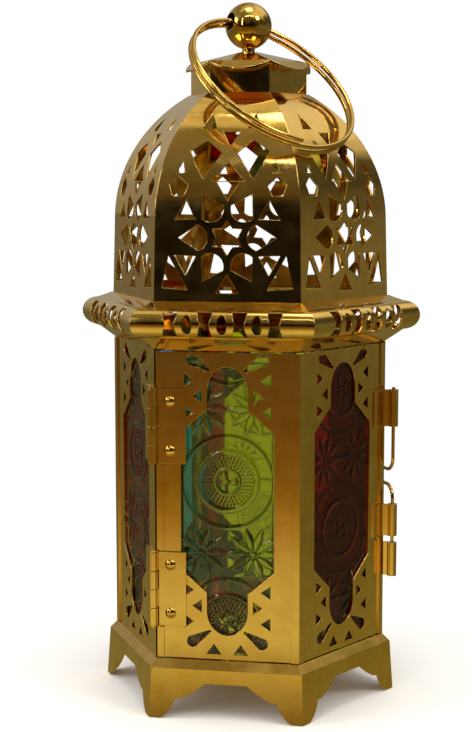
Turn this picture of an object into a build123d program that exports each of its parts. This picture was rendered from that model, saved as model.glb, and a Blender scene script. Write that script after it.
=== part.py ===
from build123d import *
import math
import os

# A hexagonal sheet-metal lantern with six coloured glass panes, a two-sided hinged door and a carrying ring.
# Millimetres, +Z up. The origin is on the ground under the lantern's axis. The door's front side faces -Y,
# and the corners stand at 30, 90, 150 ... degrees from -Y. A radius of the hexagon is taken at a corner.

# ---- sheet and clearances ----
SIDES = 6
SIDE_TURN = 360 / SIDES
FLAT = math.cos(math.pi / SIDES)  # turns a corner radius into the distance to a flat side
SHEET = 0.5
DOOR_GAP = 0.3  # around the door, to its frame
RUNNING_GAP = 0.05  # radial, of a pin or wire in its barrel
SLIP_GAP = 0.1  # of a pane in its channel

# ---- body ----
BODY_RADIUS = 36.0
DECK_HEIGHT = 14.7
WALL_TOP = 92.9
HEM_WIDTH = 1.9
HEM_PROUD = 0.4

# ---- base tray ----
DECK_LIP = 0.3  # of the deck, past the walls' corners
SHOULDER_WIDTH = 2.0
SHOULDER_DROP = 2.0
SKIRT_FLARE = 0.9
ARCH_HEIGHT = 9.1
ARCH_SLOPE = 5.9  # length of the slope between the arch's flat top and its step
ARCH_SLOPE_MIDDLE = (3.2, 7.05)  # sideways from the step, and height
STEP_WIDTH = 1.9
STEP_HEIGHT = 4.9
STEP_RISE = 0.3
FOOT_CURVE = 3.5  # from the step to the foot's inside
FOOT_CURVE_MIDDLE = (2.3, 2.2)  # sideways from the foot's inside, and height
FOOT_WIDTH = 3.0  # of half a foot, from the corner

# ---- glass panes and their channels ----
PANE_SIDE = 5.3  # from a corner of the body to the pane's edge, along the wall
PANE_THICKNESS = 2.0
PANE_END_GAP = 1.2  # from the ends of the wall to the pane
CHANNEL_LIP = 1.2
TAB_WIDTH = 4.0
TAB_INSET = 3.2  # from the pane's edge to the middle of a tab

# ---- window pattern of a wall, from the middle of the window ----
WINDOW_LIFT = 1.3  # of the window's middle, above the wall's
WINDOW_MARGIN = 0.9  # of glass behind the metal, beside the window
LOBE_HALF = 5.2
LOBE_START = 27.6
LOBE_RISE = 6.3
SHOULDER_INNER = 23.2
SHOULDER_OUTER = 17.4
TOOTH_HALF = 1.65
TOOTH_DEPTH = 2.4
TOOTH_FIRST = 22.5
TOOTH_PITCH = 4.05
TOOTH_FROM_EDGE = 0.9
TOOTH_FROM_LOBE = 1.3
DROP_NARROW = (4.5, 33.0)
DROP_ROUND = (8.8, 35.7)
DROP_NARROW_RADIUS = 0.35
DROP_ROUND_RADIUS = 1.5
SPIKE_OFFSET = 3.4
SPIKE_HALF = 1.9
SPIKE_START = 36.2
SPIKE_DEPTH = 2.6

# ---- tealight cup ----
CUP_BORE = 39.6
CUP_DEPTH = 8.5
CUP_LIP = 0.6
RIVET_SHANK = 1.5
RIVET_HEAD = 2.5
RIVET_HEAD_HEIGHT = 0.6

# ---- hinges ----
HINGE_HEIGHT = 19.0
HINGE_FROM_DECK = 8.5
HINGE_FROM_TOP = 9.3
KNUCKLES = 4
PIN_STANDOFF = 1.4  # from the body's corner to the pin
BARREL_RADIUS = 1.2
KNUCKLE_GAP = 0.2  # between two knuckles, along the pin
NOTCH_GAP = 0.3  # from a leaf to the other leaf's knuckles
PIN_RADIUS = 0.5
LEAF_SHEET = 0.5
LEAF_WIDTH = 7.6  # from the body's corner
HINGE_RIVET_INSET = 3.6  # from the body's corner
HINGE_RIVET_MARGIN = 3.3
HINGE_RIVET_HEAD = 1.4
HINGE_RIVET_SHANK = 0.8
HINGE_RIVET_RISE = 0.6
HINGE_RIVET_TAIL = 0.95
HINGE_RIVET_TAIL_RISE = 0.4

# ---- slide bolt ----
BOLT_RADIUS = 0.45
BOLT_STANDOFF = 2.6  # from the body's corner to the bolt
BOLT_BARREL = 1.25
BOLT_LIFT = 8.2  # travel up from rest
BOLT_DROP = 1.2  # travel down from rest
BOLT_SHOWS = 0.6  # above the upper guide
SLIDE_GAP = 0.2  # from the lower guide to the crank, with the bolt down
LATCH_SHEET = 0.4
FLAG_GAP = 0.2  # from the corner's plane to a guide's strip
LATCH_LEAF = 4.6
LATCH_RECESS = 1.0  # of bare plate beside a leaf
KEEPER_FROM_DECK = 15.9
KEEPER_LENGTH = 9.0
KEEPER_TO_GUIDE = 1.8
LOWER_GUIDE_LENGTH = 8.5
UPPER_GUIDE_LENGTH = 9.7
CRANK_WIDTH = 4.0  # between the hairpin's two legs
CRANK_LENGTH = 11.0
CRANK_BEND = 3.4

# ---- collar ----
COLLAR_RISE = 3.4
BEAD_RADIUS = 3.7
BEAD_OVERHANG = 9.2  # of the bead's corners, past the body's
DECK_SLOPE_RISE = 1.3
DOME_SEAT_INSET = 1.7
OVALS = 3  # on each side of the bead
OVAL_PITCH = 8.6
OVAL_HALF_WIDTH = 1.3
OVAL_HALF_HEIGHT = 2.4
GAP_WAIST = 1.1
GAP_FOOT = 1.9
GAP_HALF_HEIGHT = 3.0

# ---- neck, cap and finial ----
NECK_RADIUS = 15.2
NECK_HEIGHT = 7.5
CAP_LIP = 0.4
CAP_TOP_RADIUS = 2.6
CAP_RISE = 2.9
LOBE_DEPTH = 3.6
LOBE_FOLD = 35  # degrees down from level
BALL_RADIUS = 6.0
STEM_SHOWS = 0.7  # between the cap and the ball
STEM_RADIUS = 1.65
SHANK_RADIUS = 1.2
NUT_RADIUS = 2.8
NUT_HEIGHT = 2.0
NUT_GAP = 0.1
SHANK_END = 0.6  # that shows under the nut

# ---- dome, its holes measured from the middle of a panel's foot ----
DOME_STEP = 0.6  # of the dome's foot, past the body's corners
DOME_LEAN = 0.6  # inwards, from the foot to the shoulder
DOME_SHOULDER_HEIGHT = 21.0
DOME_CROWN_IN = 5.2  # inwards, from the foot to the middle of the bend
DOME_CROWN_HEIGHT = 36.5
DOME_EYE_LIP = 0.5  # past the neck
DOME_HEIGHT = 51.6
STAR_RISE = 15.7
STAR_TIP = 4.2
STAR_ROOT = 2.6
PETAL_START = 4.9
PETAL_WIDE = 7.3
PETAL_TIP = 12.2
PETAL_HALF = 3.1
DART_START = 9.0
DART_END = 13.5
DART_HALF = 2.8
# half a panel's other cut-outs, each mirrored to the other half
SIDE_CUTS = (
    ((14.6, 11.4), (16.3, 3.4), (9.9, 3.0)),
    ((9.8, 28.2), (11.0, 25.8), (13.6, 25.8), (14.5, 28.6), (12.3, 30.6)),
    ((5.7, 39.4), (9.8, 36.6), (6.2, 29.8), (1.9, 36.2)),
    ((10.8, 31.4), (12.9, 31.4), (11.4, 34.2)),
    ((3.8, 42.2), (7.5, 42.2), (5.4, 46.0)),
)
# cut-outs on a panel's middle line: half their width, the height of their base and of their point
MIDDLE_CUTS = ((4.0, 29.4, 33.9), (2.1, 41.4, 37.8))

# ---- split ring ----
RING_RADIUS = 22.7
RING_WIRE = 0.6
RING_STEP = 1.62  # between its two turns
RING_DROP = 0.1
RING_HOLE = 2.25
HOLE_TURN = 40.6
HOLE_DIP = 9.9
RING_LEAN = 46.05
GAP_SAMPLES = 20  # points on each arc, where the gap between the turns is measured

# ---- worked out ----
HALF_SIDE = BODY_RADIUS / 2  # of a wall, from its middle to a corner
BODY_FLAT = BODY_RADIUS * FLAT
DECK_RADIUS = BODY_RADIUS + DECK_LIP
RIM_RADIUS = DECK_RADIUS + SHOULDER_WIDTH
RIM_HEIGHT = DECK_HEIGHT - SHOULDER_DROP
FOOT_RADIUS = RIM_RADIUS + SKIRT_FLARE
DOOR_BOTTOM = DECK_HEIGHT + DOOR_GAP
DOOR_TOP = WALL_TOP - DOOR_GAP
WINDOW_MIDDLE = (DECK_HEIGHT + WALL_TOP) / 2 + WINDOW_LIFT
PANE_WIDTH = BODY_RADIUS - 2 * PANE_SIDE
PANE_BACK = SHEET + PANE_THICKNESS + SLIP_GAP  # depth of the channel's lip behind a wall's face
WINDOW_HALF = PANE_WIDTH / 2 - WINDOW_MARGIN
LOWER_HINGE = DECK_HEIGHT + HINGE_FROM_DECK
UPPER_HINGE = WALL_TOP - HINGE_FROM_TOP - HINGE_HEIGHT
PIN_REACH = BODY_RADIUS + PIN_STANDOFF
PIN_PLACE = (-PIN_REACH * math.sin(math.pi / SIDES), -PIN_REACH * FLAT)
BOLT_PLACE = BODY_RADIUS + BOLT_STANDOFF
KEEPER_LOW = DECK_HEIGHT + KEEPER_FROM_DECK
KEEPER = (KEEPER_LOW, KEEPER_LOW + KEEPER_LENGTH)
GUIDE_LOW = KEEPER[1] + KEEPER_TO_GUIDE
LOWER_GUIDE = (GUIDE_LOW, GUIDE_LOW + LOWER_GUIDE_LENGTH)
CRANK_LOWER = LOWER_GUIDE[1] + SLIDE_GAP + BOLT_DROP + CRANK_BEND
CRANK_UPPER = CRANK_LOWER + CRANK_WIDTH
GUIDE_HIGH = CRANK_UPPER + CRANK_BEND + BOLT_LIFT + DOOR_GAP
UPPER_GUIDE = (GUIDE_HIGH, GUIDE_HIGH + UPPER_GUIDE_LENGTH)
BOLT_TOP = UPPER_GUIDE[1] + BOLT_SHOWS
COLLAR_HEIGHT = WALL_TOP + COLLAR_RISE
BEAD_CORNER = BODY_RADIUS + BEAD_OVERHANG
BEAD_MIDDLE = COLLAR_HEIGHT + BEAD_RADIUS
BEAD_FLAT = BEAD_CORNER * FLAT - BEAD_RADIUS
DOME_BASE = BEAD_MIDDLE + BEAD_RADIUS + DECK_SLOPE_RISE
DOME_RADIUS = BODY_RADIUS + DOME_STEP
DOME_TOP = DOME_BASE + DOME_HEIGHT
CAP_RADIUS = NECK_RADIUS + CAP_LIP
CAP_EDGE = DOME_TOP + NECK_HEIGHT  # underside of the cap's rim
CAP_TOP = CAP_EDGE + SHEET + CAP_RISE
BALL_HEIGHT = CAP_TOP + STEM_SHOWS + BALL_RADIUS


# ================= small helpers =================
def block(x, y, z):
    """A block between pairs of X, Y and Z."""
    low_high = (x, y, z)
    size = [high - low for low, high in low_high]
    middle = [(high + low) / 2 for low, high in low_high]
    return Pos(*middle) * Box(*size)


def outline(*points):
    """A flat face with straight edges."""
    return make_face(Polyline(*points, close=True))


def upright(face, distance, depth):
    """The face, drawn as (X, Z), raised into a block that starts at -Y distance and goes inwards by depth."""
    return extrude(Plane.XZ.offset(distance) * face, amount=-depth)


def turned(shape, side):
    """The shape, made for the front, moved to another side. Side 1 is on the front's right."""
    return Rot(0, 0, SIDE_TURN * side) * shape


def hexagon(corner_radius, height):
    """A flat hexagon at a height, with its corners at 30 and 90 degrees from -Y."""
    return Pos(0, 0, height) * RegularPolygon(corner_radius, SIDES, rotation=0)


def mitre(shape, left_gap=0.0, right_gap=0.0):
    """Cuts a front piece off at its two corner planes, less a gap at each."""
    size = 10 * BODY_RADIUS  # of a block that takes away all that lies past a plane
    for turn, gap in ((30, right_gap), (150, left_gap)):
        shape -= Rot(0, 0, turn) * Pos(size / 2 - gap, 0, 0) * Box(size, size, size)
    return shape


def profile_plane():
    """The plane on which a profile is drawn as (distance to the flat side, height) for the front side."""
    return Plane((0, 0, 0), x_dir=(0, -1, 0), z_dir=(-1, 0, 0))


def front_run(profile):
    """The front side's length of a profile."""
    return mitre(extrude(profile_plane() * profile, amount=BEAD_CORNER, both=True))


def hex_ring(profile):
    """A closed ring round the lantern."""
    run = front_run(profile)
    ring = run
    for side in range(1, SIDES):
        ring += turned(run, side)
    return ring


def save(shape, node):
    """Writes one node, as its solids."""
    solids = shape.solids()
    export_step(solids[0] if len(solids) == 1 else Compound(children=list(solids)), f"parts/{node}.step")


# ================= base =================
def foot_arch():
    """The bracket outline between two feet: a flat top, a slope, a step and a rounded foot."""
    inside = FOOT_RADIUS / 2 - FOOT_WIDTH
    step_end = inside - FOOT_CURVE
    step_start = step_end - STEP_WIDTH
    flat = step_start - ARCH_SLOPE
    step_top = (step_start, STEP_HEIGHT + STEP_RISE)
    slope_middle = (step_start - ARCH_SLOPE_MIDDLE[0], ARCH_SLOPE_MIDDLE[1])
    foot_middle = (inside - FOOT_CURVE_MIDDLE[0], FOOT_CURVE_MIDDLE[1])
    right = [
        ThreePointArc((flat, ARCH_HEIGHT), slope_middle, step_top),
        Line(step_top, (step_end, STEP_HEIGHT)),
        ThreePointArc((step_end, STEP_HEIGHT), foot_middle, (inside, 0)),
        Line((inside, 0), (inside, -SHEET)),
    ]
    left = [mirror(edge, Plane.YZ) for edge in right]
    top = Line((-flat, ARCH_HEIGHT), (flat, ARCH_HEIGHT))
    bottom = Line((-inside, -SHEET), (inside, -SHEET))
    return make_face(Curve() + [top, bottom] + right + left)


def base_tray():
    """One pressing: a flared skirt on six feet, a sloping shoulder and the deck that carries the walls."""
    inset = SHEET / FLAT
    outside = loft([hexagon(FOOT_RADIUS, 0), hexagon(RIM_RADIUS, RIM_HEIGHT)], ruled=True)
    outside += loft([hexagon(RIM_RADIUS, RIM_HEIGHT), hexagon(DECK_RADIUS, DECK_HEIGHT)], ruled=True)
    inner_rim = RIM_HEIGHT - SHEET
    inside = loft([hexagon(FOOT_RADIUS - inset, 0), hexagon(RIM_RADIUS - inset, inner_rim)], ruled=True)
    inner_deck = hexagon(DECK_RADIUS - inset, DECK_HEIGHT - SHEET)
    inside += loft([hexagon(RIM_RADIUS - inset, inner_rim), inner_deck], ruled=True)
    tray = outside - inside
    arch = upright(foot_arch(), FOOT_RADIUS, FOOT_RADIUS / 2)
    for side in range(SIDES):
        tray -= turned(arch, side)
    tray -= Cylinder(RIVET_SHANK, 3 * DECK_HEIGHT)
    return tray


def tealight_cup():
    """A shallow drawn cup with a turned-out lip."""
    up = (Align.CENTER, Align.CENTER, Align.MIN)
    outer = CUP_BORE / 2 + SHEET
    cup = Pos(0, 0, DECK_HEIGHT) * Cylinder(outer, CUP_DEPTH, align=up)
    cup += Pos(0, 0, DECK_HEIGHT + CUP_DEPTH - SHEET) * Cylinder(outer + CUP_LIP, SHEET, align=up)
    cup -= Pos(0, 0, DECK_HEIGHT + SHEET) * Cylinder(CUP_BORE / 2, CUP_DEPTH, align=up)
    return cup - Pos(0, 0, DECK_HEIGHT) * Cylinder(RIVET_SHANK, 4 * SHEET)


def cup_rivet():
    """Holds the cup down on the tray."""
    low = DECK_HEIGHT - SHEET
    high = DECK_HEIGHT + SHEET
    centre = (Align.CENTER, Align.CENTER, Align.MIN)
    rivet = Pos(0, 0, low - RIVET_HEAD_HEIGHT) * Cylinder(
        RIVET_SHANK - RUNNING_GAP, high - low + 2 * RIVET_HEAD_HEIGHT, align=centre
    )
    rivet += Pos(0, 0, high) * Cylinder(RIVET_HEAD, RIVET_HEAD_HEIGHT, align=centre)
    rivet += Pos(0, 0, low - RIVET_HEAD_HEIGHT) * Cylinder(RIVET_HEAD, RIVET_HEAD_HEIGHT, align=centre)
    return rivet


# ================= walls and door =================
def cartouche():
    """The window: a wide middle with shoulders, and a round-ended lobe above and below."""
    edges = []
    for up in (1, -1):
        half_turn = 180 * up
        edges.append(EllipticalCenterArc((0, up * LOBE_START), LOBE_HALF, LOBE_RISE, arc_size=half_turn))
        for side in (1, -1):
            edges.append(
                Polyline(
                    (side * LOBE_HALF, up * LOBE_START),
                    (side * LOBE_HALF, up * SHOULDER_INNER),
                    (side * WINDOW_HALF, up * SHOULDER_OUTER),
                )
            )
    for side in (1, -1):
        edges.append(Line((side * WINDOW_HALF, SHOULDER_OUTER), (side * WINDOW_HALF, -SHOULDER_OUTER)))
    return make_face(Curve() + edges)


def tooth(base, height, inwards):
    """A small triangle with an upright base, pointing to or from the middle."""
    point = (base - inwards * TOOTH_DEPTH, height)
    return outline((base, height - TOOTH_HALF), (base, height + TOOTH_HALF), point)


def drop():
    """A teardrop that leans outwards, with its round end far from the window."""
    (x1, y1), (x2, y2) = DROP_NARROW, DROP_ROUND
    length = math.hypot(x2 - x1, y2 - y1)
    across = ((y2 - y1) / length, (x1 - x2) / length)
    r1, r2 = DROP_NARROW_RADIUS, DROP_ROUND_RADIUS
    body = outline(
        (x1 + across[0] * r1, y1 + across[1] * r1),
        (x2 + across[0] * r2, y2 + across[1] * r2),
        (x2 - across[0] * r2, y2 - across[1] * r2),
        (x1 - across[0] * r1, y1 - across[1] * r1),
    )
    return body + Pos(x2, y2) * Circle(r2) + Pos(x1, y1) * Circle(r1)


def wall_holes():
    """All cut-outs of one wall, drawn round the middle of its window."""
    outer_base = WINDOW_HALF - TOOTH_FROM_EDGE
    inner_base = LOBE_HALF + TOOTH_FROM_LOBE
    quarter = [
        tooth(outer_base, TOOTH_FIRST, 1),
        tooth(inner_base, TOOTH_FIRST + TOOTH_PITCH, -1),
        tooth(outer_base, TOOTH_FIRST + 2 * TOOTH_PITCH, 1),
        drop(),
    ]
    holes = [cartouche()]
    for hole in quarter:
        right = hole + mirror(hole, Plane.XZ)
        holes.append(right + mirror(right, Plane.YZ))
    for side in (1, -1):
        middle = side * SPIKE_OFFSET
        low = -(SPIKE_START + SPIKE_DEPTH)
        holes.append(outline((middle - SPIKE_HALF, low), (middle + SPIKE_HALF, low), (middle, -SPIKE_START)))
    return [Pos(0, WINDOW_MIDDLE) * hole for hole in holes]


def wall(bottom, top, left_gap=0.0, right_gap=0.0):
    """A front wall: plate with hemmed edges outside, two pane channels and four pane tabs inside."""
    face = -BODY_FLAT
    end = HALF_SIDE + SHEET  # past the corner, for the mitre
    plate = block((-end, end), (face, face + SHEET), (bottom, top))
    for hole in wall_holes():
        plate -= upright(hole, BODY_FLAT + SHEET, 3 * SHEET)
    channel_in = PANE_WIDTH / 2 + SLIP_GAP
    tab_middle = PANE_WIDTH / 2 - TAB_INSET
    back = face + PANE_BACK
    pane_low, pane_high = bottom + PANE_END_GAP, top - PANE_END_GAP
    for side in (-1, 1):
        hem_x = sorted((side * (HALF_SIDE - HEM_WIDTH), side * end))
        plate += block(hem_x, (face - HEM_PROUD, face), (bottom, top))
        web_x = sorted((side * channel_in, side * (channel_in + SHEET)))
        plate += block(web_x, (face + SHEET / 2, back + SHEET), (pane_low, pane_high))
        lip_x = sorted((side * (channel_in + SHEET), side * (channel_in - CHANNEL_LIP)))
        plate += block(lip_x, (back, back + SHEET), (pane_low, pane_high))
        tab_x = sorted((side * (tab_middle - TAB_WIDTH / 2), side * (tab_middle + TAB_WIDTH / 2)))
        for edge in (pane_low - SHEET - SLIP_GAP, pane_high + SLIP_GAP):
            plate += block(tab_x, (face + SHEET / 2, back), (edge, edge + SHEET))
    return mitre(plate, left_gap, right_gap)


def leaf_recess(side_sign):
    """The stretches of hem that make room for the hinge leaves."""
    x = sorted((side_sign * (HALF_SIDE - LEAF_WIDTH - DOOR_GAP), side_sign * BODY_RADIUS))
    y = (-BODY_FLAT - 2 * HEM_PROUD, -BODY_FLAT)
    return [block(x, y, (low - DOOR_GAP, low + HINGE_HEIGHT + DOOR_GAP)) for low in (LOWER_HINGE, UPPER_HINGE)]


def latch_recess(side_sign, spans):
    """The stretches of hem that make room for the leaves of the bolt's guides or keeper."""
    x = sorted((side_sign * (HALF_SIDE - LATCH_LEAF - LATCH_RECESS), side_sign * BODY_RADIUS))
    y = (-BODY_FLAT - 2 * HEM_PROUD, -BODY_FLAT)
    return [block(x, y, (low - DOOR_GAP, high + DOOR_GAP)) for low, high in spans]


def rivet_holes(side_sign):
    """Holes for the hinge rivets, through the wall's plate."""
    holes = []
    for x, z in hinge_rivet_places(side_sign):
        holes.append(Pos(x, -BODY_FLAT, z) * Rot(90, 0, 0) * Cylinder(HINGE_RIVET_SHANK, 4 * SHEET))
    return holes


def hinge_rivet_places(side_sign):
    """X and Z of the four rivets on one side of the hinge corner."""
    places = []
    for low in (LOWER_HINGE, UPPER_HINGE):
        for z in (low + HINGE_RIVET_MARGIN, low + HINGE_HEIGHT - HINGE_RIVET_MARGIN):
            places.append((side_sign * (HALF_SIDE - HINGE_RIVET_INSET), z))
    return places


def door_frame():
    """Two walls in one piece, folded at the front right corner."""
    front = wall(DOOR_BOTTOM, DOOR_TOP, left_gap=DOOR_GAP)
    for cut in leaf_recess(-1) + rivet_holes(-1):
        front -= cut
    right = wall(DOOR_BOTTOM, DOOR_TOP, right_gap=DOOR_GAP)
    for cut in latch_recess(1, (UPPER_GUIDE, LOWER_GUIDE)):
        right -= cut
    return front + turned(right, 1)


def left_wall():
    """The fixed wall that carries the hinges, before it is turned to its side."""
    shape = wall(DECK_HEIGHT, WALL_TOP, right_gap=DOOR_GAP)
    for cut in leaf_recess(1) + rivet_holes(1):
        shape -= cut
    return shape


def rear_right_wall():
    """The fixed wall that carries the keeper, before it is turned to its side."""
    shape = wall(DECK_HEIGHT, WALL_TOP, left_gap=DOOR_GAP)
    for cut in latch_recess(-1, (KEEPER,)):
        shape -= cut
    return shape


def pane(bottom, top):
    """A pressed glass pane behind a front wall."""
    half = PANE_WIDTH / 2
    face = -BODY_FLAT + SHEET
    return block((-half, half), (face, face + PANE_THICKNESS), (bottom + PANE_END_GAP, top - PANE_END_GAP))


# ================= hinges =================
def barrel(low, high, radius):
    """An upright cylinder round the hinge pin's axis."""
    return Pos(PIN_PLACE[0], PIN_PLACE[1], (low + high) / 2) * Cylinder(radius, high - low)


def door_leaf(low, first_knuckle):
    """The leaf on the door's front, with every second knuckle, its corner cut away round the other leaf's."""
    high = low + HINGE_HEIGHT
    face = -BODY_FLAT
    leaf = block((PIN_PLACE[0], LEAF_WIDTH - HALF_SIDE), (face - LEAF_SHEET, face), (low, high))
    for x, z in hinge_rivet_places(-1):
        leaf -= Pos(x, face, z) * Rot(90, 0, 0) * Cylinder(HINGE_RIVET_SHANK, 4 * LEAF_SHEET)
    pitch = HINGE_HEIGHT / KNUCKLES
    own = []
    for knuckle in range(KNUCKLES):
        bottom = low + knuckle * pitch
        if knuckle % 2 == first_knuckle:
            own.append(barrel(bottom + KNUCKLE_GAP / 2, bottom + pitch - KNUCKLE_GAP / 2, BARREL_RADIUS))
        else:
            leaf -= barrel(bottom - KNUCKLE_GAP / 2, bottom + pitch + KNUCKLE_GAP / 2, BARREL_RADIUS + NOTCH_GAP)
    leaf += own
    leaf -= barrel(low - 1, high + 1, PIN_RADIUS + RUNNING_GAP)
    return leaf


def frame_leaf(low):
    """The leaf on the fixed left wall: the door's leaf mirrored in the hinge corner's plane."""
    corner_plane = Plane((0, 0, 0), x_dir=(0, 0, 1), z_dir=(FLAT, -math.sin(math.pi / SIDES), 0))
    return mirror(door_leaf(low, 0), corner_plane)


def hinge_pin(low):
    """A pin with a small head on top."""
    high = low + HINGE_HEIGHT
    return barrel(low - SHEET, high, PIN_RADIUS) + barrel(high, high + SHEET, PIN_RADIUS * 2)


def hinge_rivets(side_sign):
    """Four round-headed rivets through a leaf and the wall behind it."""
    inner = -BODY_FLAT + SHEET
    outer = -BODY_FLAT - LEAF_SHEET
    ball = (HINGE_RIVET_HEAD**2 + HINGE_RIVET_RISE**2) / (2 * HINGE_RIVET_RISE)
    group = []
    for x, z in hinge_rivet_places(side_sign):
        head = Pos(x, outer - HINGE_RIVET_RISE + ball, z) * Sphere(ball)
        head -= Pos(x, outer + ball, z) * Box(4 * ball, 2 * ball, 4 * ball)
        head += lying(x, z, outer, inner, HINGE_RIVET_SHANK - RUNNING_GAP)
        head += lying(x, z, inner, inner + HINGE_RIVET_TAIL_RISE, HINGE_RIVET_TAIL)
        group.append(head)
    return group


def lying(x, z, near, far, radius):
    """A cylinder along Y, between two values of Y."""
    return Pos(x, (near + far) / 2, z) * Rot(90, 0, 0) * Cylinder(radius, abs(far - near))


# ================= slide bolt =================
def bolt_holder(span, side_sign):
    """A strip riveted flat by its leaf, bent out at the corner and rolled into a barrel round the bolt.

    It is made at the right-hand corner of the plan, on +X. side_sign -1 is the door's side of it.
    """
    low, high = span
    leaf = block(
        (HALF_SIDE - LATCH_LEAF, HALF_SIDE - FLAG_GAP),
        (-BODY_FLAT - LATCH_SHEET, -BODY_FLAT),
        (low, high),
    )
    leaf = turned(leaf, 1)
    flag = block((BODY_RADIUS - FLAG_GAP / 2, BOLT_PLACE), (-FLAG_GAP - LATCH_SHEET, -FLAG_GAP), (low, high))
    middle = Pos(BOLT_PLACE, 0, (low + high) / 2)
    holder = leaf + flag + middle * Cylinder(BOLT_BARREL, high - low)
    holder -= middle * Cylinder(BOLT_RADIUS + RUNNING_GAP, high - low + 2)
    return holder if side_sign < 0 else mirror(holder, Plane.XZ)


def slide_bolt():
    """A wire bolt with a hairpin finger crank that points back round the corner."""
    tip = KEEPER[1] + DOOR_GAP
    back = math.radians(SIDE_TURN / 2)
    direction = (-math.sin(back), math.cos(back))

    def point(along, height):
        return (BOLT_PLACE + direction[0] * along, direction[1] * along, height)

    loop = (CRANK_UPPER - CRANK_LOWER) / 2
    bend_mid = CRANK_BEND * (1 - math.cos(math.pi / 4))
    path = Wire(
        [
            Line(point(0, BOLT_TOP), point(0, CRANK_UPPER + CRANK_BEND)),
            ThreePointArc(
                point(0, CRANK_UPPER + CRANK_BEND),
                point(bend_mid, CRANK_UPPER + bend_mid),
                point(CRANK_BEND, CRANK_UPPER),
            ),
            Line(point(CRANK_BEND, CRANK_UPPER), point(CRANK_LENGTH - loop, CRANK_UPPER)),
            ThreePointArc(
                point(CRANK_LENGTH - loop, CRANK_UPPER),
                point(CRANK_LENGTH, CRANK_UPPER - loop),
                point(CRANK_LENGTH - loop, CRANK_LOWER),
            ),
            Line(point(CRANK_LENGTH - loop, CRANK_LOWER), point(CRANK_BEND, CRANK_LOWER)),
            ThreePointArc(
                point(CRANK_BEND, CRANK_LOWER),
                point(bend_mid, CRANK_LOWER - bend_mid),
                point(0, CRANK_LOWER - CRANK_BEND),
            ),
            Line(point(0, CRANK_LOWER - CRANK_BEND), point(0, tip)),
        ]
    )
    start = Plane(point(0, BOLT_TOP), z_dir=(0, 0, -1))
    return sweep(start * Circle(BOLT_RADIUS), path=path)


# ================= collar =================
def collar_skirt():
    """The polished flare from the top of the walls out to the bead."""
    run = BEAD_FLAT
    return hex_ring(
        outline(
            (BODY_FLAT - SHEET, WALL_TOP),
            (BODY_FLAT, WALL_TOP),
            (run, COLLAR_HEIGHT),
            (run, COLLAR_HEIGHT + SHEET),
            (BODY_FLAT - SHEET, WALL_TOP + SHEET),
        )
    )


def bead_profile():
    """A half-round channel, open towards the lantern's inside."""
    band = Circle(BEAD_RADIUS) - Circle(BEAD_RADIUS - SHEET)
    band -= Pos(-BEAD_RADIUS, 0) * Rectangle(2 * BEAD_RADIUS, 4 * BEAD_RADIUS)
    return Pos(BEAD_FLAT, BEAD_MIDDLE) * band


def gallery_holes():
    """The chain of ovals and waisted gaps along one side of the bead."""
    holes = []
    for number in range(OVALS):
        place = (number - (OVALS - 1) / 2) * OVAL_PITCH
        holes.append(Pos(place, 0) * Ellipse(OVAL_HALF_WIDTH, OVAL_HALF_HEIGHT))
    right = [(GAP_FOOT, -GAP_HALF_HEIGHT), (GAP_WAIST, 0), (GAP_FOOT, GAP_HALF_HEIGHT)]
    left = [(-x, y) for x, y in reversed(right)]
    for number in range(OVALS + 1):
        place = (number - OVALS / 2) * OVAL_PITCH
        holes.append(Pos(place, 0) * outline(*right, *left))
    return [Pos(0, BEAD_MIDDLE) * hole for hole in holes]


def gallery_rail():
    """The pierced bead that runs round the collar."""
    rail = hex_ring(bead_profile())
    cutters = [upright(hole, BEAD_CORNER, BEAD_CORNER - BEAD_FLAT) for hole in gallery_holes()]
    for side in range(SIDES):
        for cutter in cutters:
            rail -= turned(cutter, side)
    return rail


def collar_deck():
    """The narrow deck from the top of the bead in to the foot of the dome."""
    top = BEAD_MIDDLE + BEAD_RADIUS
    dome_flat = DOME_RADIUS * FLAT
    return hex_ring(
        outline(
            (BEAD_FLAT, top - SHEET),
            (BEAD_FLAT, top),
            (dome_flat + SHEET, DOME_BASE),
            (dome_flat - DOME_SEAT_INSET, DOME_BASE),
            (dome_flat - DOME_SEAT_INSET, DOME_BASE - SHEET),
            (dome_flat + SHEET / 2, DOME_BASE - SHEET),
        )
    )


# ================= dome =================
def arc_centre(first, second, third):
    """The middle of the circle through three points."""
    (ax, ay), (bx, by), (cx, cy) = first, second, third
    twice = 2 * (ax * (by - cy) + bx * (cy - ay) + cx * (ay - by))
    a, b, c = ax * ax + ay * ay, bx * bx + by * by, cx * cx + cy * cy
    return (
        (a * (by - cy) + b * (cy - ay) + c * (ay - by)) / twice,
        (a * (cx - bx) + b * (ax - cx) + c * (bx - ax)) / twice,
    )


def dome_profile():
    """The section of one dome panel: nearly upright, then bent in to the neck."""
    bend = (
        (DOME_RADIUS - DOME_LEAN, DOME_SHOULDER_HEIGHT),
        (DOME_RADIUS - DOME_CROWN_IN, DOME_CROWN_HEIGHT),
        (NECK_RADIUS + DOME_EYE_LIP, DOME_HEIGHT),
    )
    outer = [(radius * FLAT, DOME_BASE + height) for radius, height in bend]
    centre = arc_centre(*outer)
    inner = []
    for x, z in outer:
        reach = math.hypot(x - centre[0], z - centre[1])
        share = (reach - SHEET) / reach
        inner.append((centre[0] + (x - centre[0]) * share, centre[1] + (z - centre[1]) * share))
    foot = DOME_RADIUS * FLAT
    edges = [
        Line((foot - SHEET, DOME_BASE), (foot, DOME_BASE)),
        Line((foot, DOME_BASE), outer[0]),
        ThreePointArc(*outer),
        Line(outer[2], inner[2]),
        ThreePointArc(inner[2], inner[1], inner[0]),
        Line(inner[0], (foot - SHEET, DOME_BASE)),
    ]
    return make_face(Curve() + edges)


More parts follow.
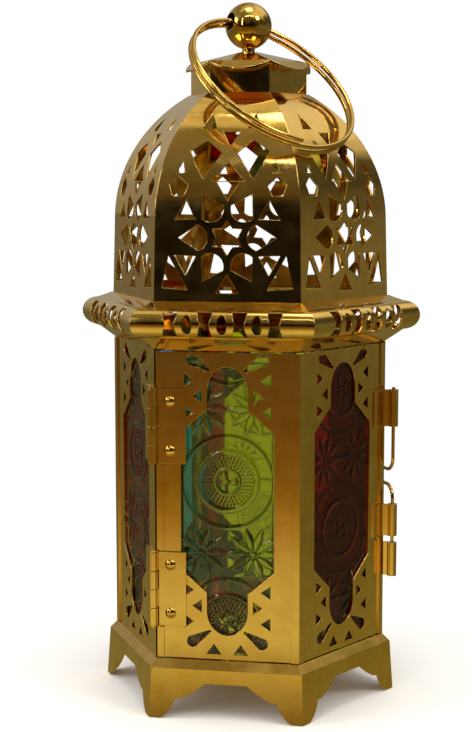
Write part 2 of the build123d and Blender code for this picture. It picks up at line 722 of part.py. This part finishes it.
def star():
    """A six-pointed star."""
    points = []
    for step in range(2 * SIDES):
        radius = STAR_TIP if step % 2 == 0 else STAR_ROOT
        angle = math.radians(90 + step * 180 / SIDES)
        points.append((radius * math.cos(angle), radius * math.sin(angle)))
    return outline(*points)


def petal():
    """A kite with a round inner end, pointing outwards along +X."""
    nose = ThreePointArc((PETAL_WIDE, -PETAL_HALF), (PETAL_START, 0), (PETAL_WIDE, PETAL_HALF))
    tip = Polyline((PETAL_WIDE, PETAL_HALF), (PETAL_TIP, 0), (PETAL_WIDE, -PETAL_HALF))
    return make_face(Curve() + [nose, tip])


def dart():
    """A triangle between two petals, its point towards the star."""
    return outline((DART_START, 0), (DART_END, DART_HALF), (DART_END, -DART_HALF))


def dome_holes():
    """All cut-outs of one dome panel, as seen square on, from the middle of the panel's foot."""
    holes = [Pos(0, STAR_RISE) * star()]
    for step in range(SIDES):
        angle = step * 360 / SIDES
        holes.append(Pos(0, STAR_RISE) * Rot(0, 0, angle) * petal())
        holes.append(Pos(0, STAR_RISE) * Rot(0, 0, angle + 180 / SIDES) * dart())
    for cut in SIDE_CUTS:
        right = outline(*cut)
        holes += [right, mirror(right, Plane.YZ)]
    for half, base, point in MIDDLE_CUTS:
        holes.append(outline((-half, base), (half, base), (0, point)))
    return holes


def dome_panel():
    """One pierced panel of the dome, on the front."""
    panel = front_run(dome_profile())
    for hole in dome_holes():
        panel -= upright(Pos(0, DOME_BASE) * hole, DOME_RADIUS, DOME_RADIUS)
    return panel


# ================= neck, cap, finial =================
def neck_band():
    """The upright six-sided band between the dome and the cap."""
    inset = SHEET / FLAT
    band = hexagon(NECK_RADIUS, DOME_TOP) - hexagon(NECK_RADIUS - inset, DOME_TOP)
    return extrude(band, amount=NECK_HEIGHT)


def cap_plate():
    """A low six-sided pyramid with a scallop folded down along each side."""
    rim = CAP_RADIUS * FLAT
    top = CAP_TOP_RADIUS * FLAT
    fold = math.radians(LOBE_FOLD)
    out, down = LOBE_DEPTH * math.cos(fold), LOBE_DEPTH * math.sin(fold)
    side = front_run(
        outline(
            (0, CAP_TOP),
            (top, CAP_TOP),
            (rim, CAP_EDGE + SHEET),
            (rim + out, CAP_EDGE + SHEET - down),
            (rim + out - SHEET * math.sin(fold), CAP_EDGE + SHEET - down - SHEET * math.cos(fold)),
            (rim - SHEET * math.sin(fold), CAP_EDGE),
            (top, CAP_TOP - SHEET),
            (0, CAP_TOP - SHEET),
        )
    )
    cap = side
    for number in range(1, SIDES):
        cap += turned(side, number)
    edges = []
    for number in range(SIDES):
        spots = [
            (reach * math.sin(math.radians(angle)), -reach * math.cos(math.radians(angle)))
            for reach, angle in ((CAP_RADIUS, -30), (rim + out, 0), (CAP_RADIUS, 30))
        ]
        edges.append(turned(ThreePointArc(*spots), number))
    plan = make_face(Curve() + edges)
    spare = Box(4 * CAP_RADIUS, 4 * CAP_RADIUS, 8 * CAP_RISE)
    spare -= Pos(0, 0, -8 * CAP_RISE) * extrude(plan, amount=16 * CAP_RISE)
    cap -= Pos(0, 0, CAP_EDGE) * spare
    return cap - Pos(0, 0, CAP_TOP) * Cylinder(SHANK_RADIUS + RUNNING_GAP, 4 * CAP_RISE)


def finial():
    """A turned ball with a cross hole, on a stem whose shank passes through the cap."""
    up = (Align.CENTER, Align.CENTER, Align.MIN)
    shank_low = CAP_TOP - SHEET - NUT_GAP - NUT_HEIGHT - SHANK_END
    shape = Pos(0, 0, BALL_HEIGHT) * Sphere(BALL_RADIUS)
    shape += Pos(0, 0, CAP_TOP) * Cylinder(STEM_RADIUS, BALL_HEIGHT - BALL_RADIUS / 2 - CAP_TOP, align=up)
    shape += Pos(0, 0, shank_low) * Cylinder(SHANK_RADIUS, CAP_TOP + 1 - shank_low, align=up)
    return shape - HOLE_PLACE * Rot(0, 90, 0) * Cylinder(RING_HOLE, 4 * BALL_RADIUS)


def finial_nut():
    """The nut that holds the finial under the cap."""
    top = CAP_TOP - SHEET - NUT_GAP
    nut = Pos(0, 0, top - NUT_HEIGHT) * extrude(RegularPolygon(NUT_RADIUS, SIDES), amount=NUT_HEIGHT)
    return nut - Pos(0, 0, top) * Cylinder(SHANK_RADIUS + RUNNING_GAP, 3 * NUT_HEIGHT)


# ================= split ring =================
HOLE_PLACE = Pos(0, 0, BALL_HEIGHT) * Rot(0, 0, HOLE_TURN) * Rot(0, HOLE_DIP, 0)  # along the ball's cross hole


def ring_point(turn):
    """A point of the winding, in the ring's own frame: X along the ball's hole, and 0 degrees in the hole."""
    angle = math.radians(turn)
    shift = RING_STEP * turn / 360 - RING_STEP / 2
    return (RING_RADIUS * math.sin(angle), shift, RING_RADIUS * (math.cos(angle) - 1) - RING_DROP)


def split_ring():
    """A wire wound twice round, like a key ring, hanging through the ball and leaning on the dome."""
    step = 180
    arcs = [
        ThreePointArc(ring_point(turn), ring_point(turn + step / 2), ring_point(turn + step))
        for turn in range(-step, 3 * step, step)
    ]
    middles = [arc @ (share / GAP_SAMPLES) for arc in arcs for share in range(GAP_SAMPLES)]
    half = len(middles) // 2
    least = min((a - b).length for a in middles[:half] for b in middles[half:])
    print("ring: least gap between its two turns", round(least - 2 * RING_WIRE, 3), "mm")
    section = Plane(arcs[0] @ 0, z_dir=arcs[0] % 0) * Circle(RING_WIRE)
    wound = sweep(section, path=Wire(arcs))
    return HOLE_PLACE * Rot(-RING_LEAN, 0, 0) * wound


# ================= write every node =================
def main():
    os.makedirs("parts", exist_ok=True)
    save(base_tray(), "base_tray")
    save(tealight_cup(), "tealight_cup")
    save(cup_rivet(), "cup_rivet")

    save(turned(left_wall(), 5), "wall_left")
    plain = wall(DECK_HEIGHT, WALL_TOP)
    save(turned(plain, 4), "wall_rear_left")
    save(turned(plain, 3), "wall_rear")
    save(turned(rear_right_wall(), 2), "wall_rear_right")
    save(door_frame(), "door_frame")

    door_pane = pane(DOOR_BOTTOM, DOOR_TOP)
    save(door_pane, "glass_front")
    save(turned(door_pane, 1), "glass_right")
    fixed_pane = pane(DECK_HEIGHT, WALL_TOP)
    for side, name in ((2, "glass_rear_right"), (3, "glass_rear"), (4, "glass_rear_left"), (5, "glass_left")):
        save(turned(fixed_pane, side), name)

    for low, name in ((LOWER_HINGE, "lower"), (UPPER_HINGE, "upper")):
        save(door_leaf(low, 1), f"hinge_leaf_door_{name}")
        save(frame_leaf(low), f"hinge_leaf_frame_{name}")
        save(hinge_pin(low), f"hinge_pin_{name}")
    save(Compound(children=hinge_rivets(-1)), "hinge_rivets_door")
    save(turned(Compound(children=hinge_rivets(1)), 5), "hinge_rivets_frame")

    save(bolt_holder(UPPER_GUIDE, -1), "latch_guide_upper")
    save(bolt_holder(LOWER_GUIDE, -1), "latch_guide_lower")
    save(bolt_holder(KEEPER, 1), "latch_keeper")
    save(slide_bolt(), "latch_bolt")

    save(collar_skirt(), "collar_skirt")
    save(gallery_rail(), "gallery_rail")
    save(collar_deck(), "collar_deck")
    panel = dome_panel()
    for side, name in enumerate(("front", "right", "rear_right", "rear", "rear_left", "left")):
        save(turned(panel, side), f"dome_panel_{name}")
    save(neck_band(), "neck_band")
    save(cap_plate(), "cap_plate")
    save(finial(), "finial")
    save(finial_nut(), "finial_nut")
    save(split_ring(), "split_ring")


main()
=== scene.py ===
import math

import bpy
from mathutils import Matrix, Vector


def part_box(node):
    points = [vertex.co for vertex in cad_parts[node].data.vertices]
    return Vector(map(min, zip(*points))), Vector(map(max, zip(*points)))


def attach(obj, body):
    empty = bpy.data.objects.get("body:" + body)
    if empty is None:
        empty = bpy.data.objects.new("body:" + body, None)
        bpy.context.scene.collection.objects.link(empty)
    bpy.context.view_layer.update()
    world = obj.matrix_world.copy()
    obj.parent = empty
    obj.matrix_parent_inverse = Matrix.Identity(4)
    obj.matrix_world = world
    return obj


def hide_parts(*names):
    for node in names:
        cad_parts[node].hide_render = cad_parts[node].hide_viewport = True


# The looks of a six-sided gilt lantern with pressed glass panes. Metres, +Z up; the door's front faces -Y.

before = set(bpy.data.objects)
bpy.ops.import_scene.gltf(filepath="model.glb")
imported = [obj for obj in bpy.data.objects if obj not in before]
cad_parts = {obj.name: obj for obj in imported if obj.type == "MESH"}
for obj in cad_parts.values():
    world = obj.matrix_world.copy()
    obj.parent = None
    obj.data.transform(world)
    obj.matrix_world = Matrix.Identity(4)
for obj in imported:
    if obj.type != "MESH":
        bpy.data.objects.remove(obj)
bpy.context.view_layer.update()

SIDES = 6
MM = 0.001


# ---------------- materials ----------------
def linear(text):
    """An sRGB hex colour as linear red, green, blue and alpha."""
    values = [int(text[i:i + 2], 16) / 255 for i in (0, 2, 4)]
    return tuple(v / 12.92 if v <= 0.04045 else ((v + 0.055) / 1.055) ** 2.4 for v in values) + (1.0,)


def add(tree, kind, settings=None, links=None):
    """Adds a node. Settings are attributes, socket values or a ramp's stops; links feed its inputs."""
    new = tree.nodes.new(kind)
    for name, value in (settings or {}).items():
        if name == "stops":
            elements = new.color_ramp.elements
            while len(elements) < len(value):
                elements.new(0.5)
            for element, (place, colour) in zip(elements, value):
                element.position = place
                element.color = linear(colour)
        elif isinstance(name, str) and hasattr(new, name):
            setattr(new, name, value)
        else:
            new.inputs[name].default_value = value
    for name, source in (links or {}).items():
        tree.links.new(source, new.inputs[name])
    return new


def blank(name):
    """A new material and its empty node tree."""
    made = bpy.data.materials.new(name)
    made.use_nodes = True
    made.node_tree.nodes.clear()
    return made, made.node_tree


TOUCH_MM = 6  # patches where fingers have touched the lacquer
PIT_MM = 0.7  # from one pit or speck of dust in the plating to the next
WORN_EDGE = 0.0002  # sheared and folded edges are worn round to 0.2 mm, and catch a thin bright line


def gilt_plate(name, base, deep, roughness, wave_mm, wave, smudge):
    """Polished yellow gilt plate: bright metal whose thin sheet waves a little and holds faint smudges.

    wave_mm is the width of the sheet's slight buckling, which bends long reflections, and wave its strength.
    deep is the gilt's tone where it is thin, and smudge how much rougher the touched patches are.
    """
    made, tree = blank(name)
    place = add(tree, "ShaderNodeTexCoord").outputs["Object"]
    buckle = add(tree, "ShaderNodeTexNoise", {"Scale": 1000 / wave_mm, "Detail": 1.5}, {"Vector": place})
    touch = add(
        tree, "ShaderNodeTexNoise", {"Scale": 1000 / TOUCH_MM, "Detail": 4.0, "Roughness": 0.6},
        {"Vector": place},
    )
    pits = add(tree, "ShaderNodeTexNoise", {"Scale": 1000 / PIT_MM, "Detail": 2.0}, {"Vector": place})
    tone = add(
        tree, "ShaderNodeValToRGB", {"stops": ((0.35, deep), (0.62, base))}, {"Fac": touch.outputs["Fac"]},
    )
    gloss = add(
        tree, "ShaderNodeMapRange",
        {"From Min": 0.4, "From Max": 0.75, "To Min": roughness, "To Max": roughness + smudge},
        {"Value": touch.outputs["Fac"]},
    )
    worn = add(tree, "ShaderNodeBevel", {"Radius": WORN_EDGE, "samples": 4})
    bump = add(
        tree, "ShaderNodeBump", {"Strength": wave, "Distance": 0.0008},
        {"Height": buckle.outputs["Fac"], "Normal": worn.outputs["Normal"]},
    )
    fine = add(
        tree, "ShaderNodeBump", {"Strength": 0.04, "Distance": 0.0001},
        {"Height": pits.outputs["Fac"], "Normal": bump.outputs["Normal"]},
    )
    metal = add(
        tree, "ShaderNodeBsdfPrincipled", {"Metallic": 1.0},
        {"Base Color": tone.outputs["Color"], "Roughness": gloss.outputs["Result"],
         "Normal": fine.outputs["Normal"]},
    )
    add(tree, "ShaderNodeOutputMaterial", links={"Surface": metal.outputs["BSDF"]})
    return made


RIPPLE_MM = 3  # between the ripples left by the mould's cold iron


def pressed_glass(name, colour, shade, cloud):
    """Pressed soda glass coloured in the melt: clear and deep, with a fire-polished skin that ripples softly.

    The pane's "pressed" attribute is the height of its pattern. Its flanks are painted dark in the shade
    colour, a painted shade for the light they bend away, and crests gather it and keep the clear colour.
    cloud is how much light scatters inside the glass.
    """
    made, tree = blank(name)
    place = add(tree, "ShaderNodeTexCoord").outputs["Object"]
    ripple = add(tree, "ShaderNodeTexNoise", {"Scale": 1000 / RIPPLE_MM, "Detail": 2.0}, {"Vector": place})
    bump = add(
        tree, "ShaderNodeBump", {"Strength": 0.05, "Distance": 0.0003}, {"Height": ripple.outputs["Fac"]},
    )
    pressed = add(tree, "ShaderNodeAttribute", {"attribute_name": "pressed"})
    # painted shade: the pattern's flanks take the shade colour, and the rest keeps the glass's own colour
    tint_and_painted_shade = add(
        tree, "ShaderNodeValToRGB",
        {"stops": ((0.0, colour), (0.06, colour), (0.22, shade), (0.5, shade), (0.85, colour))},
        {"Fac": pressed.outputs["Fac"]},
    )
    # the specular level is low, because the room around such a lantern is dim beside the light through it
    glass = add(
        tree, "ShaderNodeBsdfPrincipled",
        {"Roughness": 0.03, "IOR": 1.45, "Specular IOR Level": 0.08, "Transmission Weight": 1.0 - cloud},
        {"Base Color": tint_and_painted_shade.outputs["Color"], "Normal": bump.outputs["Normal"]},
    )
    add(tree, "ShaderNodeOutputMaterial", links={"Surface": glass.outputs["BSDF"]})
    return made


# rolled sheet, buffed before it was cut: long, slightly waving reflections
SHEET_GILT = gilt_plate("polished gilt sheet brass", "E6C06A", "DDB45A", 0.07, 22, 0.10, 0.08)
# deep pressing stretches the sheet's skin: softer and cloudier reflections
PRESSED_GILT = gilt_plate("pressed gilt brass of the base", "E2B95E", "D6AC50", 0.14, 14, 0.20, 0.12)
# turned or drawn, and buffed all round: small sharp highlights
TURNED_GILT = gilt_plate("buffed gilt of turned brass and wire", "E4BC62", "DAB054", 0.06, 9, 0.03, 0.06)
# one pane is seen through another, and their colours multiply: blue behind lime looks teal
# each pane's second colour is the painted shade on its pattern's flanks
RED_GLASS = pressed_glass("red pressed glass", "7C030A", "300206", 0.02)
GLASS = {
    "glass_front": pressed_glass("lime pressed glass", "C8D47C", "5C6E2C", 0.01),
    "glass_right": RED_GLASS,
    "glass_left": RED_GLASS,
    "glass_rear_right": pressed_glass("green pressed glass", "2F9A3A", "0E4418", 0.08),
    "glass_rear": pressed_glass("yellow pressed glass", "949404", "343A02", 0.02),
    "glass_rear_left": pressed_glass("blue pressed glass", "026A9A", "023E5C", 0.05),
}
TURNED = (
    "finial", "finial_nut", "split_ring", "latch_bolt", "hinge_pin_upper", "hinge_pin_lower", "cup_rivet",
    "hinge_rivets_door", "hinge_rivets_frame",
)


def finish_with(thing, material):
    """Gives a mesh one material."""
    thing.data.materials.clear()
    thing.data.materials.append(material)


for name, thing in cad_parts.items():
    if name in GLASS:
        finish_with(thing, GLASS[name])
    elif name in TURNED:
        finish_with(thing, TURNED_GILT)
    elif name == "base_tray":
        finish_with(thing, PRESSED_GILT)
    else:
        finish_with(thing, SHEET_GILT)


# ---------------- pressed panes ----------------
# Millimetres, in a pane's own plane: s is sideways from its middle, z is up from the ground.
BODY_RADIUS = 36.0  # to the walls' corners
WALL_FACE = BODY_RADIUS * math.cos(math.pi / SIDES)  # from the axis
PLATE = 0.5  # of the wall in front of the pane
PANE_FACE = -(WALL_FACE - PLATE) * MM  # in metres, the Y of the front pane's outer face
PANE_WIDTH = 25.4
PANE_THICK = 2.0
PANE_MARGIN = 1.2  # of plain glass at the edges, held by the channels
MARGIN_FADE = 0.4  # over which the pattern starts, inside the margin
POINTS_ACROSS, POINTS_UP = 116, 344  # a point about every 0.22 mm
SMOOTH_UP_TO = math.radians(50)
RELIEF = 0.22  # deepest part of the pressed pattern

PATTERN_STEP = 36.3  # from one medallion up to the next
MEDALLION_LEVEL = 60.3  # height of the front pane's middle medallion
RINGS = ((7.3, 0.85, 1.0), (3.1, 0.4, 0.8), (11.6, 0.5, 0.35))  # radius, half width, height
HOBNAIL_ROWS = (4.1, 5.0, 5.9)
HOBNAIL_PITCH = 0.95
HOBNAIL_HALF = 0.42
HOBNAIL_HEIGHT = 0.75
TREFOIL_END = 2.7  # the medallion's three-lobed middle
TREFOIL_RADIUS = 1.5
TREFOIL_HALF = 1.2
TREFOIL_BUTTON = 0.6

FLOWER_LEVEL = MEDALLION_LEVEL - PATTERN_STEP / 2  # flowers stand in pairs halfway between medallions
FLOWER_OUT = 6.6
FLOWER_BUTTON = 0.9
PETAL_TURN = 2 * math.pi / 10  # ten narrow petals
PETAL_START = 1.1
PETAL_LENGTH = 5.6
PETAL_TIP_HALF = 0.15


def ridge(distance, middle, width):
    """A rounded ridge across a distance, from 0 to 1."""
    off = abs(distance - middle) / width
    return max(0.0, 1.0 - off * off)


def from_nearest(z, level):
    """Height above the nearest repeat of a level."""
    return z - level - PATTERN_STEP * round((z - level) / PATTERN_STEP)


def medallion(s, up):
    """Height of a medallion: rings, rows of hobnails and a trefoil, around its middle."""
    r, turn = math.hypot(s, up), math.atan2(up, s)
    high = max(height * ridge(r, radius, half) for radius, half, height in RINGS)
    for row in HOBNAIL_ROWS:
        count = round(2 * math.pi * row / HOBNAIL_PITCH)
        nail = max(0.0, math.cos(turn * count))
        high = max(high, HOBNAIL_HEIGHT * ridge(r, row, HOBNAIL_HALF) * nail)
    if r < TREFOIL_END:
        lobe = max(0.0, math.cos(3 * turn)) ** 0.5
        high = max(high, ridge(r, TREFOIL_RADIUS, TREFOIL_HALF) * lobe, ridge(r, 0, TREFOIL_BUTTON))
    return high


def flower(s, up):
    """Height of a flower: petals round a button."""
    r, turn = math.hypot(s, up), math.atan2(up, s)
    off = (turn / PETAL_TURN - round(turn / PETAL_TURN)) * PETAL_TURN
    along, across = r * math.cos(off), r * math.sin(off)
    share = (along - PETAL_START) / PETAL_LENGTH
    high = ridge(r, 0, FLOWER_BUTTON)
    if 0 < share < 1:
        high = max(high, ridge(across, 0, PETAL_TIP_HALF + math.sin(math.pi * share ** 0.8)))
    return high


def relief(s, z):
    """Height of the pressed pattern, from 0 in the ground to about 1 on the highest ridges."""
    up = from_nearest(z, FLOWER_LEVEL)
    return max(
        medallion(s, from_nearest(z, MEDALLION_LEVEL)),
        flower(s - FLOWER_OUT, up),
        flower(s + FLOWER_OUT, up),
    )


def pane(node, side, body, lift):
    """A pane with a pattern pressed into its outer face, made at the front and turned to its side.

    The panes are cut from one patterned sheet at different heights: lift is how far up this one's pattern
    sits. The relief is too fine for edit mode's tools, so the outer face's points are pressed in one by one.
    """
    low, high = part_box(node)[0][2] / MM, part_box(node)[1][2] / MM
    bpy.ops.object.select_all(action="DESELECT")
    bpy.ops.mesh.primitive_grid_add(
        x_subdivisions=POINTS_ACROSS, y_subdivisions=POINTS_UP, size=1, rotation=(math.pi / 2, 0, 0),
        location=(0, PANE_FACE, (low + high) / 2 * MM),
    )
    made = bpy.context.object
    made.name = "pressed_" + node
    made.scale = (PANE_WIDTH * MM, (high - low) * MM, 1)
    bpy.ops.object.transform_apply(location=True, rotation=True, scale=True)
    bpy.ops.object.mode_set(mode="EDIT")
    bpy.ops.mesh.select_all(action="DESELECT")
    bpy.ops.mesh.select_non_manifold()
    bpy.ops.mesh.extrude_edges_move(TRANSFORM_OT_translate={"value": (0, PANE_THICK * MM, 0)})
    bpy.ops.mesh.edge_face_add()
    bpy.ops.mesh.select_all(action="SELECT")
    bpy.ops.mesh.normals_make_consistent(inside=False)
    bpy.ops.object.mode_set(mode="OBJECT")
    pressed = made.data.attributes.new("pressed", "FLOAT", "POINT")
    for number, point in enumerate(made.data.vertices):
        if abs(point.co.y - PANE_FACE) < 1e-6:
            s, z = point.co.x / MM, point.co.z / MM
            edge = min(PANE_WIDTH / 2 - abs(s), z - low, high - z)
            if edge > PANE_MARGIN:
                blend = min(1.0, (edge - PANE_MARGIN) / MARGIN_FADE)
                height = relief(s, z - lift)
                point.co.y += blend * RELIEF * (1 - height) * MM
                pressed.data[number].value = blend * height
    made.data.transform(Matrix.Rotation(math.radians(360 / SIDES * side), 4, "Z"))
    bpy.ops.object.shade_smooth_by_angle(angle=SMOOTH_UP_TO)
    finish_with(made, GLASS[node])
    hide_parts(node)
    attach(made, body)


for node, side, body, lift in (
    ("glass_front", 0, "door", 0.0), ("glass_right", 1, "door", -14.0),
    ("glass_rear_right", 2, "lantern", 7.0), ("glass_rear", 3, "lantern", 14.0),
    ("glass_rear_left", 4, "lantern", -9.0), ("glass_left", 5, "lantern", 4.0),
):
    pane(node, side, body, lift)


# ---------------- studio ----------------
# What polished metal mirrors, by height (0 straight down, 0.5 level, 1 straight up): dark in front, brighter
# at the sides, with one bright patch high on the right.
MIRROR_FRONT = (
    (0.0, "6A5A3C"), (0.47, "2C2416"), (0.50, "15120D"), (0.57, "16130F"), (0.66, "5A4E3C"), (0.86, "6E6A60"),
    (0.95, "8C8064"), (1.0, "E8DEC0"),
)
MIRROR_RIGHT = (
    (0.0, "6A6242"), (0.47, "6E6A48"), (0.53, "686456"), (0.60, "484438"), (0.71, "5E5A4C"), (0.78, "F8F2E0"),
    (0.88, "FFFCF2"), (1.0, "D8CCA8"),
)
MIRROR_LEFT = (
    (0.0, "6A6242"), (0.47, "8E8870"), (0.53, "9A968C"), (0.68, "B4B2AC"), (0.88, "8E8878"), (0.95, "8C8064"),
    (1.0, "E8DEC0"),
)
MIRROR_WANDER = 0.07  # how far those tones wander up and down
# the same for the floor, by its share of FLOOR_END away from the axis: pale under the walls, then dim
FLOOR_END = 2.0
FLOOR_FRONT = (
    (0.02, "8C7E50"), (0.037, "B8AA78"), (0.05, "E1D7A0"), (0.08, "DCD09A"), (0.12, "B89A5A"),
    (0.16, "8E7032"), (0.25, "74562A"), (0.42, "6C5634"), (0.65, "2C2416"), (1.0, "15120D"),
)
FLOOR_SIDE = ((0.02, "8E8858"), (0.10, "74704A"), (0.30, "6A6846"), (0.60, "7A7668"), (1.0, "7A7564"))
FLOOR_SIZE = 60
FLOOR_DROP = 0.0002  # below the feet, so that the two don't flicker
SHADOW_END = 0.07  # metres from the axis, inside which the floor shows the lantern's shadow in full
WHITE_START = 0.30  # beyond which it is plain white to the camera

LAMP_COLOUR = "FFFAF2"
LAMP_AIM = Vector((0, 0, 0.09))
LAMPS = (  # name, place, width and height, watts
    ("left softbox", (-0.75, -0.35, 0.45), (0.4, 0.4), 2.4),
    ("right softbox", (0.62, -0.35, 0.62), (0.22, 0.22), 1.4),
    ("top softbox", (0.05, -0.1, 0.95), (0.3, 0.3), 1.6),
    ("left strip", (-0.30, -0.75, 0.42), (0.03, 0.5), 0.5),
    ("front strip", (0.16, -0.60, 0.80), (0.6, 0.02), 0.5),
)

CAMERA_AWAY = 0.41126
CAMERA_ROUND = math.radians(9.55)
CAMERA_HEIGHT = 0.13478
CAMERA_TILT = math.radians(83.19)
CAMERA_TURN = math.radians(10.0)
LENS = 76.76
SENSOR = 36


def paper_floor():
    """A white paper floor that keeps the lantern's shadow and fades to plain white round it."""
    bpy.ops.object.select_all(action="DESELECT")
    bpy.ops.mesh.primitive_plane_add(size=FLOOR_SIZE, location=(0, 0, -FLOOR_DROP))
    floor = bpy.context.object
    floor.name = "floor"
    made, tree = blank("white paper floor")
    place = add(tree, "ShaderNodeTexCoord").outputs["Object"]
    reach = add(tree, "ShaderNodeVectorMath", {"operation": "LENGTH"}, {0: place}).outputs["Value"]
    way = add(tree, "ShaderNodeVectorMath", {"operation": "NORMALIZE"}, {0: place}).outputs["Vector"]
    ahead = add(
        tree, "ShaderNodeMapRange",
        {"From Min": -0.35, "From Max": -0.85, "interpolation_type": "SMOOTHSTEP"},
        {"Value": add(tree, "ShaderNodeSeparateXYZ", links={"Vector": way}).outputs["Y"]},
    )
    share = add(tree, "ShaderNodeMath", {"operation": "DIVIDE", 1: FLOOR_END}, {0: reach}).outputs["Value"]
    front = add(tree, "ShaderNodeValToRGB", {"stops": FLOOR_FRONT}, {"Fac": share})
    side = add(tree, "ShaderNodeValToRGB", {"stops": FLOOR_SIDE}, {"Fac": share})
    seen = add(
        tree, "ShaderNodeMix", {"data_type": "RGBA"},
        {0: ahead.outputs["Result"], 6: side.outputs["Color"], 7: front.outputs["Color"]},
    )
    mirrored = add(tree, "ShaderNodeEmission", {"Strength": 1.0}, {"Color": seen.outputs[2]})
    paper = add(tree, "ShaderNodeBsdfDiffuse", {"Color": linear("F9F9F8")})
    white = add(tree, "ShaderNodeEmission", {"Color": linear("FFFFFF"), "Strength": 1.0})
    away = add(
        tree, "ShaderNodeMapRange",
        {"From Min": SHADOW_END, "From Max": WHITE_START, "interpolation_type": "SMOOTHSTEP"},
        {"Value": reach},
    )
    sheet = add(
        tree, "ShaderNodeMixShader",
        links={0: away.outputs["Result"], 1: paper.outputs[0], 2: white.outputs[0]},
    )
    # light bent through the rough panes counts as glossy too: it sees the white paper
    rays = add(tree, "ShaderNodeLightPath")
    bounced = add(
        tree, "ShaderNodeMath", {"operation": "SUBTRACT", "use_clamp": True},
        {0: rays.outputs["Is Glossy Ray"], 1: rays.outputs["Is Transmission Ray"]},
    )
    look = add(
        tree, "ShaderNodeMixShader",
        links={0: bounced.outputs["Value"], 1: sheet.outputs[0], 2: mirrored.outputs[0]},
    )
    add(tree, "ShaderNodeOutputMaterial", links={"Surface": look.outputs[0]})
    finish_with(floor, made)


def surroundings():
    """White to the camera and through the glass, the mirrored tones to the metal, and soft pale light."""
    world = bpy.data.worlds.new("studio")
    bpy.context.scene.world = world
    world.use_nodes = True
    tree = world.node_tree
    tree.nodes.clear()
    way = add(tree, "ShaderNodeTexCoord").outputs["Generated"]
    parts = add(tree, "ShaderNodeSeparateXYZ", links={"Vector": way})
    level = add(
        tree, "ShaderNodeMapRange", {"From Min": -1.0, "From Max": 1.0}, {"Value": parts.outputs["Z"]},
    )
    uneven = add(tree, "ShaderNodeTexNoise", {"Scale": 3.5, "Detail": 3.0}, {"Vector": way})
    wander = add(
        tree, "ShaderNodeMapRange",
        {"From Min": 0.3, "From Max": 0.7, "To Min": -MIRROR_WANDER, "To Max": MIRROR_WANDER},
        {"Value": uneven.outputs["Fac"]},
    )
    height = add(
        tree, "ShaderNodeMath", {"operation": "ADD"},
        {0: level.outputs["Result"], 1: wander.outputs["Result"]},
    )
    front, right, left = (
        add(tree, "ShaderNodeValToRGB", {"stops": stops}, {"Fac": height.outputs["Value"]}).outputs["Color"]
        for stops in (MIRROR_FRONT, MIRROR_RIGHT, MIRROR_LEFT)
    )
    rightwards = add(
        tree, "ShaderNodeMapRange", {"From Min": -0.2, "From Max": 0.4, "interpolation_type": "SMOOTHSTEP"},
        {"Value": parts.outputs["X"]},
    )
    sides = add(
        tree, "ShaderNodeMix", {"data_type": "RGBA"}, {0: rightwards.outputs["Result"], 6: left, 7: right},
    )
    forwards = add(
        tree, "ShaderNodeMapRange", {"From Min": -0.35, "From Max": -0.8, "interpolation_type": "SMOOTHSTEP"},
        {"Value": parts.outputs["Y"]},
    )
    tones = add(
        tree, "ShaderNodeMix", {"data_type": "RGBA"},
        {0: forwards.outputs["Result"], 6: sides.outputs[2], 7: front},
    )
    rays = add(tree, "ShaderNodeLightPath")
    seen = add(
        tree, "ShaderNodeMath", {"operation": "MAXIMUM"},
        {0: rays.outputs["Is Camera Ray"], 1: rays.outputs["Is Transmission Ray"]},
    )
    white = add(tree, "ShaderNodeBackground", {"Color": linear("FFFFFF"), "Strength": 1.0})
    soft = add(tree, "ShaderNodeBackground", {"Color": linear("F6F4F0"), "Strength": 1.0})
    mirrored = add(tree, "ShaderNodeBackground", {"Strength": 1.0}, {"Color": tones.outputs[2]})
    unseen = add(
        tree, "ShaderNodeMixShader",
        links={0: rays.outputs["Is Glossy Ray"], 1: soft.outputs[0], 2: mirrored.outputs[0]},
    )
    look = add(
        tree, "ShaderNodeMixShader", links={0: seen.outputs[0], 1: unseen.outputs[0], 2: white.outputs[0]},
    )
    add(tree, "ShaderNodeOutputWorld", links={"Surface": look.outputs[0]})


def lamps():
    """Three soft boxes, and two strips that draw thin highlights."""
    for name, spot, size, watts in LAMPS:
        lamp = bpy.data.lights.new(name, "AREA")
        lamp.shape = "RECTANGLE"
        lamp.size, lamp.size_y = size
        lamp.energy = watts
        lamp.color = linear(LAMP_COLOUR)[:3]
        holder = bpy.data.objects.new(name, lamp)
        bpy.context.collection.objects.link(holder)
        turn = (LAMP_AIM - Vector(spot)).to_track_quat("-Z", "Y").to_matrix().to_4x4()
        holder.matrix_world = Matrix.Translation(spot) @ turn


def camera():
    """The photograph's view: a short telephoto a little to the right, looking slightly down."""
    lens = bpy.data.cameras.new("camera")
    holder = bpy.data.objects.new("camera", lens)
    bpy.context.collection.objects.link(holder)
    lens.lens = LENS
    lens.sensor_width = SENSOR
    lens.clip_start = 0.01
    holder.location = (
        CAMERA_AWAY * math.sin(CAMERA_ROUND), -CAMERA_AWAY * math.cos(CAMERA_ROUND), CAMERA_HEIGHT,
    )
    holder.rotation_euler = (CAMERA_TILT, 0, CAMERA_TURN)
    bpy.context.scene.camera = holder


paper_floor()
surroundings()
lamps()
camera()
bpy.context.scene.view_settings.view_transform = "Standard"
